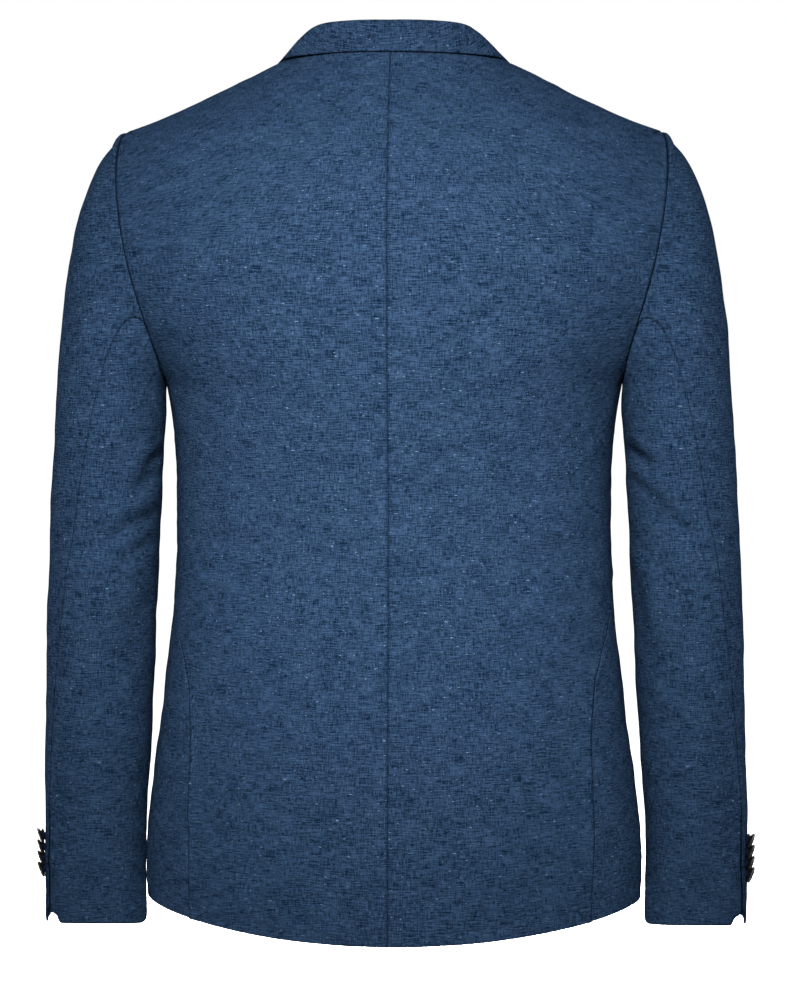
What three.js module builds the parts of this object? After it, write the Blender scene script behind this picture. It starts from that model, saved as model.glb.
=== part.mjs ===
// A men's slim blazer, filled out as if worn, with nobody in it.
// Millimetres. The front faces -Y, the wearer's left is +X and up is +Z.
// Heights in the tables are above the hem at the centre of the back. The finished group is moved down
// so that its origin is the middle of the neck, level with the side neck points.
import * as THREE from 'three';

// Driving dimensions
const WALL = 1.8;
const SEAM_INSET = 0.2;
const CONTACT_GAP = 0.4;
const LAYER_GAP = 0.9;
const UNDERARM_HEIGHT = 470;
const SHOULDER_HEIGHT = 675;
const NAPE_HEIGHT = 744;
const SIDE_NECK_HEIGHT = 740;
const BACK_ARMHOLE_REACH = 72;
const FRONT_SEAM_ANGLE = 112.5;
const FRONT_JOIN_ANGLE = 130;
const HEM_RISE = { back: 20, side: 40, front: 11 };
const HEM_FADE_HEIGHT = 300;
const FRONT_OVERLAP = 22;
const FRONT_LIFT = 4.6;
const BREAK_HEIGHT = 335;
const BREAK_TOP = { x: 66, height: 730 };
const CUTAWAY_HEIGHT = 190;
const CUTAWAY_REACH = 98;
const CUTAWAY_DROP = 8;
const FLAP = { top: 266, bottom: 214, backAngle: 103, frontAngle: 156 };
const FRONT_BUTTON = { radius: 10, thickness: 3.6, heights: [335, 235] };
const CUFF_BUTTON = { radius: 7.25, thickness: 2.6, pitch: 10, lowest: 54, angle: 16, tilt: 17, count: 4 };
const SLEEVE_BICEPS_HEIGHT = 440;
const CUFF_HEIGHT = 8;
const CUFF_RISE_BACK = 8.5;
const CUFF_FADE = 110;
const FOREARM_SEAM_ANGLE = -112;

const CLOTH = { color: 0x38507a, roughness: 0.9, metalness: 0 };
const BUTTON = { color: 0x1b120d, roughness: 0.3, metalness: 0 };

const { degToRad, radToDeg, lerp, clamp, smoothstep } = THREE.MathUtils;

// A table of named columns: each column becomes a smooth curve over the first one.
function table(names, rows) {
  const keys = rows.map((row) => row[0]);
  const columns = {};
  names.slice(1).forEach((name, column) => {
    const values = rows.map((row) => row[column + 1]);
    columns[name] = (key) => smoothValue(keys, values, key);
  });
  return columns;
}

// A cubic through the rows, straight on past the two ends.
function smoothValue(keys, values, key) {
  const last = keys.length - 1;
  const slope = (i) => {
    const low = Math.max(i - 1, 0);
    const high = Math.min(i + 1, last);
    return (values[high] - values[low]) / (keys[high] - keys[low]);
  };
  if (key <= keys[0]) return values[0] + slope(0) * (key - keys[0]);
  if (key >= keys[last]) return values[last] + slope(last) * (key - keys[last]);
  let i = 0;
  while (key > keys[i + 1]) i += 1;
  const span = keys[i + 1] - keys[i];
  const t = (key - keys[i]) / span;
  const fromStart = (1 + 2 * t) * (1 - t) ** 2 * values[i] + t * (1 - t) ** 2 * span * slope(i);
  const fromEnd = t * t * (3 - 2 * t) * values[i + 1] + t * t * (t - 1) * span * slope(i + 1);
  return fromStart + fromEnd;
}

// How deep the body is at the centre of the back and of the front.
const PROFILE = table(['height', 'back', 'front'], [
  [0, 118, 112],
  [60, 119, 112],
  [120, 117, 110],
  [190, 111, 107],
  [245, 105, 105],
  [300, 100, 103],
  [355, 99, 104],
  [420, 107, 114],
  [480, 119, 122],
  [560, 127, 122],
  [620, 122, 108],
  [675, 103, 82],
  [700, 87, 61],
  [724, 71, 42],
  [744, 60, 26],
]);

// How wide the body is up to the underarm, and where its side-back seam runs (0 is the centre back).
const GIRTH = table(['height', 'halfWidth', 'backSeam'], [
  [0, 208.2, 52],
  [50, 208.8, 52],
  [80, 207.8, 53],
  [115, 204, 54],
  [188, 194.8, 57],
  [225, 190.6, 61],
  [255, 187, 69],
  [285, 184, 82],
  [310, 182, 90],
  [345, 181, 90],
  [403, 181.3, 90],
  [436, 183.2, 90],
  [455, 185.8, 90],
  [470, 189.2, 90],
  [488, 195.5, 90],
  [507, 204, 90],
]);

// Half the width at the armhole's edge: its angle runs from 0 at the shoulder to 180 under the arm.
const ARMHOLE = table(['angle', 'backX', 'frontX'], [
  [0, 218, 218],
  [15, 221.5, 216],
  [30, 223.5, 212],
  [60, 222, 200],
  [90, 214, 191],
  [110, 205, 188.5],
  [130, 196, 188.5],
  [150, 190.5, 189],
  [180, 189.2, 189.2],
]);

// The shoulder ridge, from the sleeve head (0) to the side of the neck (1).
const SHOULDER = table(['along', 'x', 'ridgeY', 'height'], [
  [0, 218, 0, SHOULDER_HEIGHT],
  [0.14, 199, 0, 681],
  [0.44, 157, 2, 699.5],
  [0.84, 101, 6, 727.5],
  [1, 74, 7, SIDE_NECK_HEIGHT],
]);

// Horizontal sections of the sleeve below the biceps.
const SLEEVE = table(['height', 'outer', 'inner', 'back', 'front'], [
  [10, 298, 210, 7, -72],
  [60, 297.8, 209.8, 12, -69],
  [95, 297.2, 208.8, 18, -67],
  [128, 296.2, 206.4, 24, -65],
  [180, 294, 202.8, 34, -62],
  [237, 292, 199.4, 43, -60],
  [308, 289, 195.2, 52, -58],
  [383, 285, 191.2, 58, -57],
  [440, 281, 187.8, 62, -57],
]);

// Where the seam down the back of the arm runs: 0 is the outer side and 90 is the back.
// The course is 0 at the armhole, 1 at the biceps and 2 at the cuff.
const HIND_SEAM = table(['course', 'angle'], [
  [0, 122],
  [0.5, 104],
  [1, 78],
  [1.3, 56],
  [1.65, 35],
  [2, 26],
]);

// Largest folds of the sleeves: side is 1 on the wearer's left, lean turns the fold up from level.
const SLEEVE_FOLDS = [
  { side: 1, angle: 62, height: 575, lean: -38, length: 46, width: 17, depth: 3.6 },
  { side: 1, angle: 95, height: 545, lean: -48, length: 40, width: 13, depth: -3 },
  { side: 1, angle: 130, height: 398, lean: 24, length: 34, width: 12, depth: -4.2 },
  { side: 1, angle: 120, height: 374, lean: 20, length: 36, width: 12, depth: 2.4 },
  { side: 1, angle: 88, height: 352, lean: 24, length: 52, width: 15, depth: -3.4 },
  { side: 1, angle: 112, height: 232, lean: 62, length: 70, width: 14, depth: -3 },
  { side: 1, angle: -62, height: 390, lean: -20, length: 42, width: 13, depth: -3.6 },
  { side: 1, angle: -88, height: 356, lean: 16, length: 38, width: 13, depth: -3.4 },
  { side: -1, angle: 58, height: 566, lean: -30, length: 44, width: 17, depth: 3.2 },
  { side: -1, angle: 98, height: 556, lean: -50, length: 38, width: 12, depth: -2.8 },
  { side: -1, angle: 134, height: 408, lean: 18, length: 32, width: 12, depth: -4 },
  { side: -1, angle: 104, height: 358, lean: -22, length: 50, width: 14, depth: -3.6 },
  { side: -1, angle: 106, height: 294, lean: 58, length: 48, width: 14, depth: -3.2 },
  { side: -1, angle: -70, height: 396, lean: 22, length: 40, width: 13, depth: -3.6 },
  { side: -1, angle: -96, height: 344, lean: -18, length: 40, width: 13, depth: -3.2 },
];

// Largest folds of the body: angle is 0 at the centre back, 90 at the side and 180 at the centre front.
const BODY_FOLDS = [
  { side: 1, angle: 40, height: 92, lean: 66, length: 46, width: 16, depth: -2.6 },
  { side: -1, angle: 36, height: 120, lean: -70, length: 60, width: 20, depth: -2 },
  { side: 1, angle: 26, height: 330, lean: 8, length: 58, width: 17, depth: -2.4 },
  { side: -1, angle: 30, height: 346, lean: -6, length: 54, width: 16, depth: -2.2 },
  { side: 1, angle: 150, height: 372, lean: -30, length: 52, width: 16, depth: -2.6 },
  { side: -1, angle: 146, height: 366, lean: 28, length: 50, width: 16, depth: -2.6 },
];
const SLEEVE_FOLD_RADIUS = 50;
const BODY_FOLD_RADIUS = 150;

function foldRelief(folds, side, angle, height, radius) {
  let relief = 0;
  folds.filter((fold) => fold.side === side).forEach((fold) => {
    const round = degToRad(angle - fold.angle) * radius;
    const up = height - fold.height;
    const lean = degToRad(fold.lean);
    const along = round * Math.cos(lean) + up * Math.sin(lean);
    const across = up * Math.cos(lean) - round * Math.sin(lean);
    relief += fold.depth * Math.exp(-((along / fold.length) ** 2) - (across / fold.width) ** 2);
  });
  return relief;
}

// The body below the underarm, at an angle round from the centre back.
function torsoPoint(height, angle) {
  const turn = degToRad(angle);
  const depth = angle <= 90 ? PROFILE.back(height) : PROFILE.front(height);
  const middleRise = angle <= 90 ? HEM_RISE.back : HEM_RISE.front;
  const fade = clamp(1 - height / HEM_FADE_HEIGHT, 0, 1.2) ** 2;
  const rise = lerp(middleRise, HEM_RISE.side, Math.sin(turn) ** 2) * fade;
  return new THREE.Vector3(
    GIRTH.halfWidth(height) * Math.sin(turn), depth * Math.cos(turn), height + rise);
}

// A row of the back or front above the underarm: from the centre to its edge at the armhole or shoulder.
function yokePoint(row, turn) {
  const { facing, depth, centreHeight, edge, edgeTurn } = row;
  const share = Math.sin(turn) / Math.sin(edgeTurn);
  const bow = (Math.cos(turn) - Math.cos(edgeTurn)) / (1 - Math.cos(edgeTurn));
  const edgeY = edge.y * facing;
  const y = facing * (edgeY + (depth - edgeY) * bow);
  const z = lerp(centreHeight, edge.z, Math.min(share * share, 1));
  return new THREE.Vector3(edge.x * share, y, z);
}

const ARMHOLE_MIDDLE = (SHOULDER_HEIGHT + UNDERARM_HEIGHT) / 2;
const ARMHOLE_HALF = (SHOULDER_HEIGHT - UNDERARM_HEIGHT) / 2;
const armholeHeight = (angle) => ARMHOLE_MIDDLE + ARMHOLE_HALF * Math.cos(degToRad(angle));
const FRONT_JOIN_HEIGHT = armholeHeight(FRONT_JOIN_ANGLE);
const FRONT_ARMHOLE_REACH = -PROFILE.front(FRONT_JOIN_HEIGHT) * Math.cos(degToRad(FRONT_SEAM_ANGLE))
  / Math.sin(degToRad(FRONT_JOIN_ANGLE));

// The armhole's edge, all round: 0 at the shoulder, 90 at the back, 180 under the arm, -90 at the front.
function armholePoint(angle) {
  const round = Math.abs(angle) > 180 ? angle - 360 * Math.sign(angle) : angle;
  const opened = Math.abs(round);
  const height = armholeHeight(opened);
  const reach = round >= 0 ? BACK_ARMHOLE_REACH : -FRONT_ARMHOLE_REACH;
  const y = reach * Math.sin(degToRad(opened));
  if (round >= 0) return new THREE.Vector3(ARMHOLE.backX(opened), y, height);
  if (opened < FRONT_JOIN_ANGLE) return new THREE.Vector3(ARMHOLE.frontX(opened), y, height);
  const bow = Math.sqrt(1 - (y / PROFILE.front(height)) ** 2);
  return new THREE.Vector3(GIRTH.halfWidth(height) * bow, y, height);
}

// A course is 0 at the hem, 1 at the foot of the armhole, 2 at the shoulder point and 3 at the neck.
function yokeRow(facing, course) {
  if (course <= 2) {
    const lowest = facing > 0 ? 180 : FRONT_JOIN_ANGLE;
    const angle = lowest * (2 - course);
    const edge = armholePoint(facing * clamp(angle, 0, lowest));
    return rowTo(facing, edge.z, edge);
  }
  const along = course - 2;
  const edge = new THREE.Vector3(SHOULDER.x(along), SHOULDER.ridgeY(along), SHOULDER.height(along));
  return { ...rowTo(facing, lerp(SHOULDER_HEIGHT, NAPE_HEIGHT, along), edge), edgeTurn: Math.PI / 2 };
}

function rowTo(facing, centreHeight, edge) {
  const depth = facing > 0 ? PROFILE.back(centreHeight) : PROFILE.front(centreHeight);
  return { facing, depth, centreHeight, edge, edgeTurn: Math.acos(Math.abs(edge.y) / depth) };
}

// Across 0 is the centre back, and across 1 is the side-back seam, the armhole or the shoulder.
function backPoint(across, course) {
  if (course <= 1) {
    const height = UNDERARM_HEIGHT * course;
    return torsoPoint(height, GIRTH.backSeam(height) * across);
  }
  const row = yokeRow(1, course);
  return yokePoint(row, row.edgeTurn * across);
}

function sidePoint(across, course) {
  const level = UNDERARM_HEIGHT * course;
  const angle = lerp(GIRTH.backSeam(level), FRONT_SEAM_ANGLE, across);
  const depth = PROFILE.front(UNDERARM_HEIGHT);
  const sine = clamp((-depth * Math.cos(degToRad(Math.max(angle, 90)))) / FRONT_ARMHOLE_REACH, 0, 1);
  const join = Math.sin(degToRad(FRONT_JOIN_ANGLE));
  const top = armholeHeight(180 - radToDeg(Math.asin(Math.min(sine, join))));
  const height = level + (top - UNDERARM_HEIGHT) * course ** 3;
  return torsoPoint(height, angle);
}

// Where the front's free edge runs: rounded away at the hem, past the centre, and along the lapel's fold.
function frontEdgeX(height) {
  if (height < CUTAWAY_HEIGHT) {
    const drop = clamp((CUTAWAY_HEIGHT - height) / (CUTAWAY_HEIGHT + CUTAWAY_DROP), 0, 1);
    return -FRONT_OVERLAP + CUTAWAY_REACH * (1 - Math.sqrt(1 - drop ** 2));
  }
  const rise = clamp((height - BREAK_HEIGHT) / (BREAK_TOP.height - BREAK_HEIGHT), 0, 1.1);
  return lerp(-FRONT_OVERLAP, BREAK_TOP.x, rise);
}

function frontLevel(course) {
  return (UNDERARM_HEIGHT + (FRONT_JOIN_HEIGHT - UNDERARM_HEIGHT) * course ** 2) * course;
}

// The front's surface at a distance from the centre line.
function frontAt(x, course) {
  if (course <= 1) {
    const height = frontLevel(course);
    return torsoPoint(height, 180 - radToDeg(Math.asin(x / GIRTH.halfWidth(height))));
  }
  const row = yokeRow(-1, course);
  const sine = clamp((x * Math.sin(row.edgeTurn)) / row.edge.x, -1, 1);
  return yokePoint(row, Math.asin(sine));
}

function frontRowHeight(course) {
  return course <= 1 ? frontLevel(course) : yokeRow(-1, course).centreHeight;
}

// Across 0 is the side seam, armhole or shoulder, and across 1 is the free edge.
function frontPoint(across, course) {
  const edgeX = frontEdgeX(frontRowHeight(course));
  if (course <= 1) {
    const height = frontLevel(course);
    const edgeAngle = 180 - radToDeg(Math.asin(edgeX / GIRTH.halfWidth(height)));
    return torsoPoint(height, lerp(FRONT_SEAM_ANGLE, edgeAngle, across));
  }
  const row = yokeRow(-1, course);
  const edgeTurn = Math.asin((edgeX * Math.sin(row.edgeTurn)) / row.edge.x);
  return yokePoint(row, lerp(row.edgeTurn, edgeTurn, across));
}

// The sleeve: angle 0 is its outer side, 90 its back, 180 towards the body.
function sleeveRing(angle, height) {
  const turn = degToRad(angle);
  const outer = SLEEVE.outer(height);
  const inner = SLEEVE.inner(height);
  const back = SLEEVE.back(height);
  const front = SLEEVE.front(height);
  return new THREE.Vector3(
    (outer + inner) / 2 + ((outer - inner) / 2) * Math.cos(turn),
    (back + front) / 2 + ((back - front) / 2) * Math.sin(turn),
    height,
  );
}

const CAP_START = 0.35;
const CAP_PULL = 0.17;
const CAP_FULLNESS = 0.9;

function sleevePoint(angle, course) {
  if (course > 1) {
    const height = lerp(SLEEVE_BICEPS_HEIGHT, CUFF_HEIGHT, course - 1);
    const ring = sleeveRing(angle, height);
    const towardsBack = ((1 + Math.sin(degToRad(angle))) / 2) ** 2;
    const fade = clamp(1 - (height - CUFF_HEIGHT) / CUFF_FADE, 0, 1.1) ** 2;
    ring.z += CUFF_RISE_BACK * towardsBack * fade;
    return ring;
  }
  const start = armholePoint(angle);
  start.x += CAP_START;
  const end = sleeveRing(angle, SLEEVE_BICEPS_HEIGHT);
  const knee = end.clone().lerp(start, CAP_PULL);
  knee.z = lerp(end.z, start.z, CAP_FULLNESS);
  return new THREE.QuadraticBezierCurve3(start, knee, end).getPoint(course);
}

// Walls: a grid of points on the outer face, the same grid moved in, and walls round the edge.
const STEP = 1e-3;

function surfaceNormal(point, u, v, facing) {
  const alongU = point(u + STEP, v).sub(point(u - STEP, v));
  const alongV = point(u, v + STEP).sub(point(u, v - STEP));
  return alongU.cross(alongV).normalize().multiplyScalar(facing);
}

function insetEnds(values, speed) {
  const last = values.length - 1;
  return values.map((value, i) => {
    if (i === 0) return value + SEAM_INSET / Math.max(speed(value), 1);
    if (i === last) return value - SEAM_INSET / Math.max(speed(value), 1);
    return value;
  });
}

// point(u, v) is the outer face of the piece on the wearer's left. Facing is 1 where u crossed with v
// points out of the cloth, and -1 where it points in.
function wallGeometry({ point, us, vs, facing, side = 1, lift = 0, relief = () => 0 }) {
  const outer = [];
  const inner = [];
  const middleU = (us[0] + us.at(-1)) / 2;
  const rowSpeed = (v) => point(middleU, v + STEP).distanceTo(point(middleU, v - STEP)) / (2 * STEP);
  const rows = insetEnds(vs, rowSpeed);
  rows.forEach((v) => {
    const speed = (u) => point(u + STEP, v).distanceTo(point(u - STEP, v)) / (2 * STEP);
    insetEnds(us, speed).forEach((u) => {
      const place = point(u, v);
      const normal = surfaceNormal(point, u, v, facing);
      place.addScaledVector(normal, lift + relief(u, v, place));
      outer.push(place);
      inner.push(place.clone().addScaledVector(normal, -WALL));
    });
  });
  return closedGrid(outer, inner, us.length, vs.length, side);
}

function closedGrid(outer, inner, across, along, side) {
  const count = outer.length;
  const faces = [];
  const quad = (a, b, c, d) => faces.push(a, b, c, a, c, d);
  for (let row = 0; row < along - 1; row += 1) {
    for (let i = 0; i < across - 1; i += 1) {
      const a = row * across + i;
      quad(a, a + 1, a + 1 + across, a + across);
      quad(count + a + across, count + a + 1 + across, count + a + 1, count + a);
    }
  }
  const rim = (a, b) => quad(b, a, count + a, count + b);
  for (let i = 0; i < across - 1; i += 1) {
    const top = (along - 1) * across + i;
    rim(i, i + 1);
    rim(top + 1, top);
  }
  for (let row = 0; row < along - 1; row += 1) {
    const a = row * across;
    rim(a + across, a);
    rim(a + across - 1, a + 2 * across - 1);
  }
  const positions = [...outer, ...inner].flatMap((p) => [p.x * side, p.y, p.z]);
  return facingOut(positions, faces);
}

// Turns every face round if the closed solid came out with its inside out.
function facingOut(positions, faces) {
  const corner = (i) => new THREE.Vector3().fromArray(positions, 3 * i);
  let volume = 0;
  for (let i = 0; i < faces.length; i += 3) {
    volume += corner(faces[i]).dot(corner(faces[i + 1]).cross(corner(faces[i + 2])));
  }
  if (volume < 0) {
    for (let i = 0; i < faces.length; i += 3) {
      [faces[i], faces[i + 2]] = [faces[i + 2], faces[i]];
    }
  }
  const geometry = new THREE.BufferGeometry();
  geometry.setAttribute('position', new THREE.Float32BufferAttribute(positions, 3));
  geometry.setIndex(faces);
  geometry.computeVertexNormals();
  return geometry;
}

const blazer = new THREE.Group();
const worn = new THREE.Group();
worn.position.z = -SIDE_NECK_HEIGHT;
blazer.add(worn);

function addPiece(name, geometry, finish) {
  const mesh = new THREE.Mesh(geometry, new THREE.MeshStandardMaterial(finish));
  mesh.name = name;
  worn.add(mesh);
  return mesh;
}

const steps = (from, to, count) => Array.from({ length: count + 1 }, (_, i) => lerp(from, to, i / count));
const SIDES = { left: 1, right: -1 };

const bodyRelief = (side) => (u, v, place) => {
  const depth = place.y >= 0 ? PROFILE.back(place.z) : PROFILE.front(place.z);
  const angle = radToDeg(Math.atan2(place.x / GIRTH.halfWidth(Math.min(place.z, 500)), place.y / depth));
  return foldRelief(BODY_FOLDS, side, angle, place.z, BODY_FOLD_RADIUS);
};

// The left front laps over the right one, so it stands off the body near the centre.
const LIFT_INNER = 24;
const LIFT_OUTER = 95;
const frontRelief = (side) => (u, v, place) => {
  const lap = side > 0 ? FRONT_LIFT * (1 - smoothstep(place.x, LIFT_INNER, LIFT_OUTER)) : 0;
  return bodyRelief(side)(u, v, place) + lap;
};

// The three panels of the body share their rows, so that their edges meet along the seams.
const LOWER_COURSES = [0, 0.02, 0.05, 0.09, 0.14, 0.2, ...steps(0.27, 1, 12)];
const BACK_ACROSS = 8;
const BACK_COURSES = [...LOWER_COURSES, ...steps(1, 2, 10).slice(1), ...steps(2, 3, 5).slice(1)];
const SIDE_ACROSS = 5;
const FRONT_ACROSS = 8;
const FRONT_COURSES = [...LOWER_COURSES, ...steps(1, 2, 9).slice(1), ...steps(2, 2.93, 5).slice(1)];

function addBody(name, side) {
  const relief = bodyRelief(side);
  addPiece(`back_${name}`, wallGeometry({
    point: backPoint, us: steps(0, 1, BACK_ACROSS), vs: BACK_COURSES, facing: -1, relief, side,
  }), CLOTH);
  addPiece(`side_${name}`, wallGeometry({
    point: sidePoint, us: steps(0, 1, SIDE_ACROSS), vs: LOWER_COURSES, facing: -1, relief, side,
  }), CLOTH);
  addPiece(`front_${name}`, wallGeometry({
    point: frontPoint,
    us: steps(0, 1, FRONT_ACROSS),
    vs: FRONT_COURSES,
    facing: -1,
    relief: frontRelief(side),
    side,
  }), CLOTH);
}

// The lapel lies on the front, from its fold to its outer edge.
const LAPEL = table(['height', 'outerX'], [
  [340, -14],
  [405, 15],
  [470, 45],
  [530, 72],
  [590, 98],
  [640, 121],
  [668, 135],
]);
// Above its point, the lapel narrows to the notch and then along the seam under the collar.
const LAPEL_TOP = table(['course', 'outerX'], [
  [1.8, 134],
  [2.2, 104],
  [2.5, 72],
]);
const LAPEL_POINT_COURSE = 1.8;
const LAPEL_END_COURSE = 2.48;
const LAPEL_ACROSS = 5;
// The right lapel's lowest stretch would lie hidden under the left front, so it starts above that.
const LAPEL_START = { left: 0.715, right: 0.88 };
const LAPEL_ROWS = { toPoint: 13, above: 5 };
const LAPEL_ROLL = 2.2;
const lapelCourses = (name) => [
  ...steps(LAPEL_START[name], LAPEL_POINT_COURSE, LAPEL_ROWS.toPoint),
  ...steps(LAPEL_POINT_COURSE, LAPEL_END_COURSE, LAPEL_ROWS.above).slice(1),
];

function lapelOuterX(course) {
  return course <= LAPEL_POINT_COURSE ? LAPEL.outerX(frontRowHeight(course)) : LAPEL_TOP.outerX(course);
}

function lapelPoint(across, course) {
  const fold = frontEdgeX(frontRowHeight(course));
  return frontAt(lerp(fold, lapelOuterX(course), across), course);
}

function addLapel(name, side) {
  const puff = (u) => LAPEL_ROLL * Math.sin(Math.PI * clamp(u, 0, 1)) * (1 - u);
  addPiece(`lapel_${name}`, wallGeometry({
    point: lapelPoint,
    us: steps(0, 1, LAPEL_ACROSS),
    vs: lapelCourses(name),
    facing: 1,
    relief: (u, v, place) => frontRelief(side)(u, v, place) + puff(u),
    lift: LAYER_GAP + WALL,
    side,
  }), CLOTH);
}

// The flap lies on the side and front, across the seam between them.
const FLAP_ACROSS = 9;
const FLAP_DOWN = 4;
const FLAP_CORNER = 0.06;

function flapPoint(across, down) {
  const angle = lerp(FLAP.backAngle, FLAP.frontAngle, across);
  const corner = Math.max(0, FLAP_CORNER - Math.min(across, 1 - across)) / FLAP_CORNER;
  const bottom = lerp(FLAP.bottom, FLAP.top, 0.16 * corner ** 2);
  return torsoPoint(lerp(FLAP.top, bottom, down), angle);
}

function addFlap(name, side) {
  addPiece(`pocket_flap_${name}`, wallGeometry({
    point: flapPoint,
    us: [0, 0.03, ...steps(0.09, 0.91, FLAP_ACROSS - 3), 0.97, 1],
    vs: steps(0, 1, FLAP_DOWN),
    facing: 1,
    relief: frontRelief(side),
    lift: LAYER_GAP + WALL,
    side,
  }), CLOTH);
}

// Sleeves
const SLEEVE_COURSES = [...steps(0, 1, 8), ...steps(1, 2, 22).slice(1)];
const TOP_ACROSS = 10;
const UNDER_ACROSS = 8;

function addSleeve(name, side) {
  const between = (from, to) => (across, course) => sleevePoint(lerp(from(course), to(course), across), course);
  const hind = (course) => HIND_SEAM.angle(course);
  const fore = () => FOREARM_SEAM_ANGLE;
  const foreRound = () => FOREARM_SEAM_ANGLE + 360;
  const relief = (from, to) => (u, v, place) => {
    const angle = lerp(from(v), to(v), u);
    const wrapped = angle > 180 ? angle - 360 : angle;
    return foldRelief(SLEEVE_FOLDS, side, wrapped, place.z, SLEEVE_FOLD_RADIUS);
  };
  addPiece(`sleeve_top_${name}`, wallGeometry({
    point: between(fore, hind), us: steps(0, 1, TOP_ACROSS), vs: SLEEVE_COURSES,
    facing: -1, relief: relief(fore, hind), side,
  }), CLOTH);
  addPiece(`sleeve_under_${name}`, wallGeometry({
    point: between(hind, foreRound), us: steps(0, 1, UNDER_ACROSS), vs: SLEEVE_COURSES,
    facing: -1, relief: relief(hind, foreRound), side,
  }), CLOTH);
}

// The collar: stations run from the centre back (0) over the shoulder (3) to its front end (5).
// Seam and edge lie on the body, and the roll stands above the seam.
const COLLAR = table(
  ['station', 'seamX', 'seamCourse', 'edgeX', 'edgeCourse', 'rollIn', 'rollUp'], [
    [0, 0, 3, 0, 2.862, 5, 18],
    [1, 34, 3, 42, 2.868, 5, 18.5],
    [2, 58, 3, 75, 2.88, 6, 18.5],
    [3, 71, 3, 91, 2.87, 10, 11.5],
    [4, 72, 2.86, 106, 2.68, 8, 9],
    [4.6, 71.5, 2.7, 114, 2.44, 7, 8],
    [5, 70, 2.6, 102, 2.26, 6, 6],
  ]);
const COLLAR_LIFT = { seam: 0.8, edge: 2.8, front: 2.7 };
const COLLAR_LAST = 5;
const COLLAR_ALONG = 12;
const COLLAR_ROUND = [0, 0.16, 0.32, 0.42, 0.5, 0.6, 0.75, 0.88, 1];
const COLLAR_ROLL_DEPTH = 10;
// The curve's two middle points stand this much higher than the roll that it makes.
const COLLAR_PULL = 1.3;

function bodyAt(x, course, blend) {
  const row = yokeRow(1, course);
  const back = yokePoint(row, Math.asin(clamp((x * Math.sin(row.edgeTurn)) / row.edge.x, -1, 1)));
  return back.lerp(frontAt(x, course), blend);
}

function collarPoint(along, round) {
  const side = Math.sign(along) || 1;
  const station = Math.abs(along);
  const blend = smoothstep(station, 2.6, 3.4);
  const seam = bodyAt(COLLAR.seamX(station), COLLAR.seamCourse(station), blend);
  const edge = bodyAt(COLLAR.edgeX(station), COLLAR.edgeCourse(station), blend);
  const outward = edge.clone().sub(seam).setZ(0).normalize();
  const up = new THREE.Vector3(0, 0, 1);
  seam.addScaledVector(up, COLLAR_LIFT.seam);
  edge.addScaledVector(up, COLLAR_LIFT.edge).addScaledVector(outward, COLLAR_LIFT.edge);
  seam.y -= COLLAR_LIFT.front * blend;
  edge.y -= COLLAR_LIFT.front * blend;
  const rise = COLLAR.rollUp(station) * COLLAR_PULL;
  const roll = seam.clone().addScaledVector(outward, -COLLAR.rollIn(station)).addScaledVector(up, rise);
  const over = roll.clone().addScaledVector(outward, COLLAR_ROLL_DEPTH);
  const place = new THREE.CubicBezierCurve3(seam, roll, over, edge).getPoint(round);
  place.x *= side;
  return place;
}

function addCollar() {
  addPiece('collar', wallGeometry({
    point: collarPoint,
    us: steps(-COLLAR_LAST, COLLAR_LAST, 2 * COLLAR_ALONG),
    vs: COLLAR_ROUND,
    facing: 1,
  }), CLOTH);
}

const BUTTON_SIDES = 14;

// A button is a turned disc with a raised rim, its axis along the piece's own Y.
function buttonGeometry(radius, thickness) {
  const rimInner = 0.74 * radius;
  const dish = 0.72 * thickness;
  const profile = [
    [0, 0],
    [0.8 * radius, 0],
    [radius, 0.55 * thickness],
    [0.9 * radius, thickness],
    [rimInner, dish],
    [0, dish],
  ].map(([x, y]) => new THREE.Vector2(x, y));
  return new THREE.LatheGeometry(profile, BUTTON_SIDES);
}

function addButton(name, radius, thickness, place, axis) {
  const mesh = addPiece(name, buttonGeometry(radius, thickness), BUTTON);
  mesh.position.copy(place);
  mesh.quaternion.setFromUnitVectors(new THREE.Vector3(0, 1, 0), axis);
}

function addFrontButtons() {
  const { radius, thickness, heights } = FRONT_BUTTON;
  const point = (u, v) => torsoPoint(v, u);
  heights.forEach((height, i) => {
    const normal = surfaceNormal(point, 180, height, -1);
    const place = torsoPoint(height, 180).addScaledVector(normal, FRONT_LIFT + CONTACT_GAP);
    addButton(`front_button_${i + 1}`, radius, thickness, place, normal);
  });
}

// The cuff buttons overlap like shingles: each leans out at its upper edge.
function addCuffButtons(name, side) {
  const { radius, thickness, pitch, lowest, angle, tilt, count } = CUFF_BUTTON;
  const lean = degToRad(tilt);
  const standOff = radius * Math.sin(lean);
  for (let i = 0; i < count; i += 1) {
    const height = lowest + pitch * (count - 1 - i);
    const course = 1 + (SLEEVE_BICEPS_HEIGHT - height) / (SLEEVE_BICEPS_HEIGHT - CUFF_HEIGHT);
    const normal = surfaceNormal(sleevePoint, angle, course, -1);
    const place = sleevePoint(angle, course).addScaledVector(normal, standOff);
    const axis = normal.clone().multiplyScalar(Math.cos(lean)).setZ(normal.z - Math.sin(lean)).normalize();
    place.x *= side;
    axis.x *= side;
    addButton(`cuff_button_${name}_${i + 1}`, radius, thickness, place, axis);
  }
}

Object.entries(SIDES).forEach(([name, side]) => {
  addBody(name, side);
  addLapel(name, side);
  addFlap(name, side);
  addSleeve(name, side);
  addCuffButtons(name, side);
});
addCollar();
addFrontButtons();

export default blazer;
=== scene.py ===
# %% [markdown]
# # A slim blazer in blue chambray linen, seen from behind
# The imported solids are the frame: each cut piece of the blazer is a wall 1.8 mm thick in its true form.
# This lesson dresses them. Each piece is copied, refined, creased and given its own cloth, and
# the copy then stands for the solid. Everything is in metres, with the front facing -Y.

# %% Load the frame
import math

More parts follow.
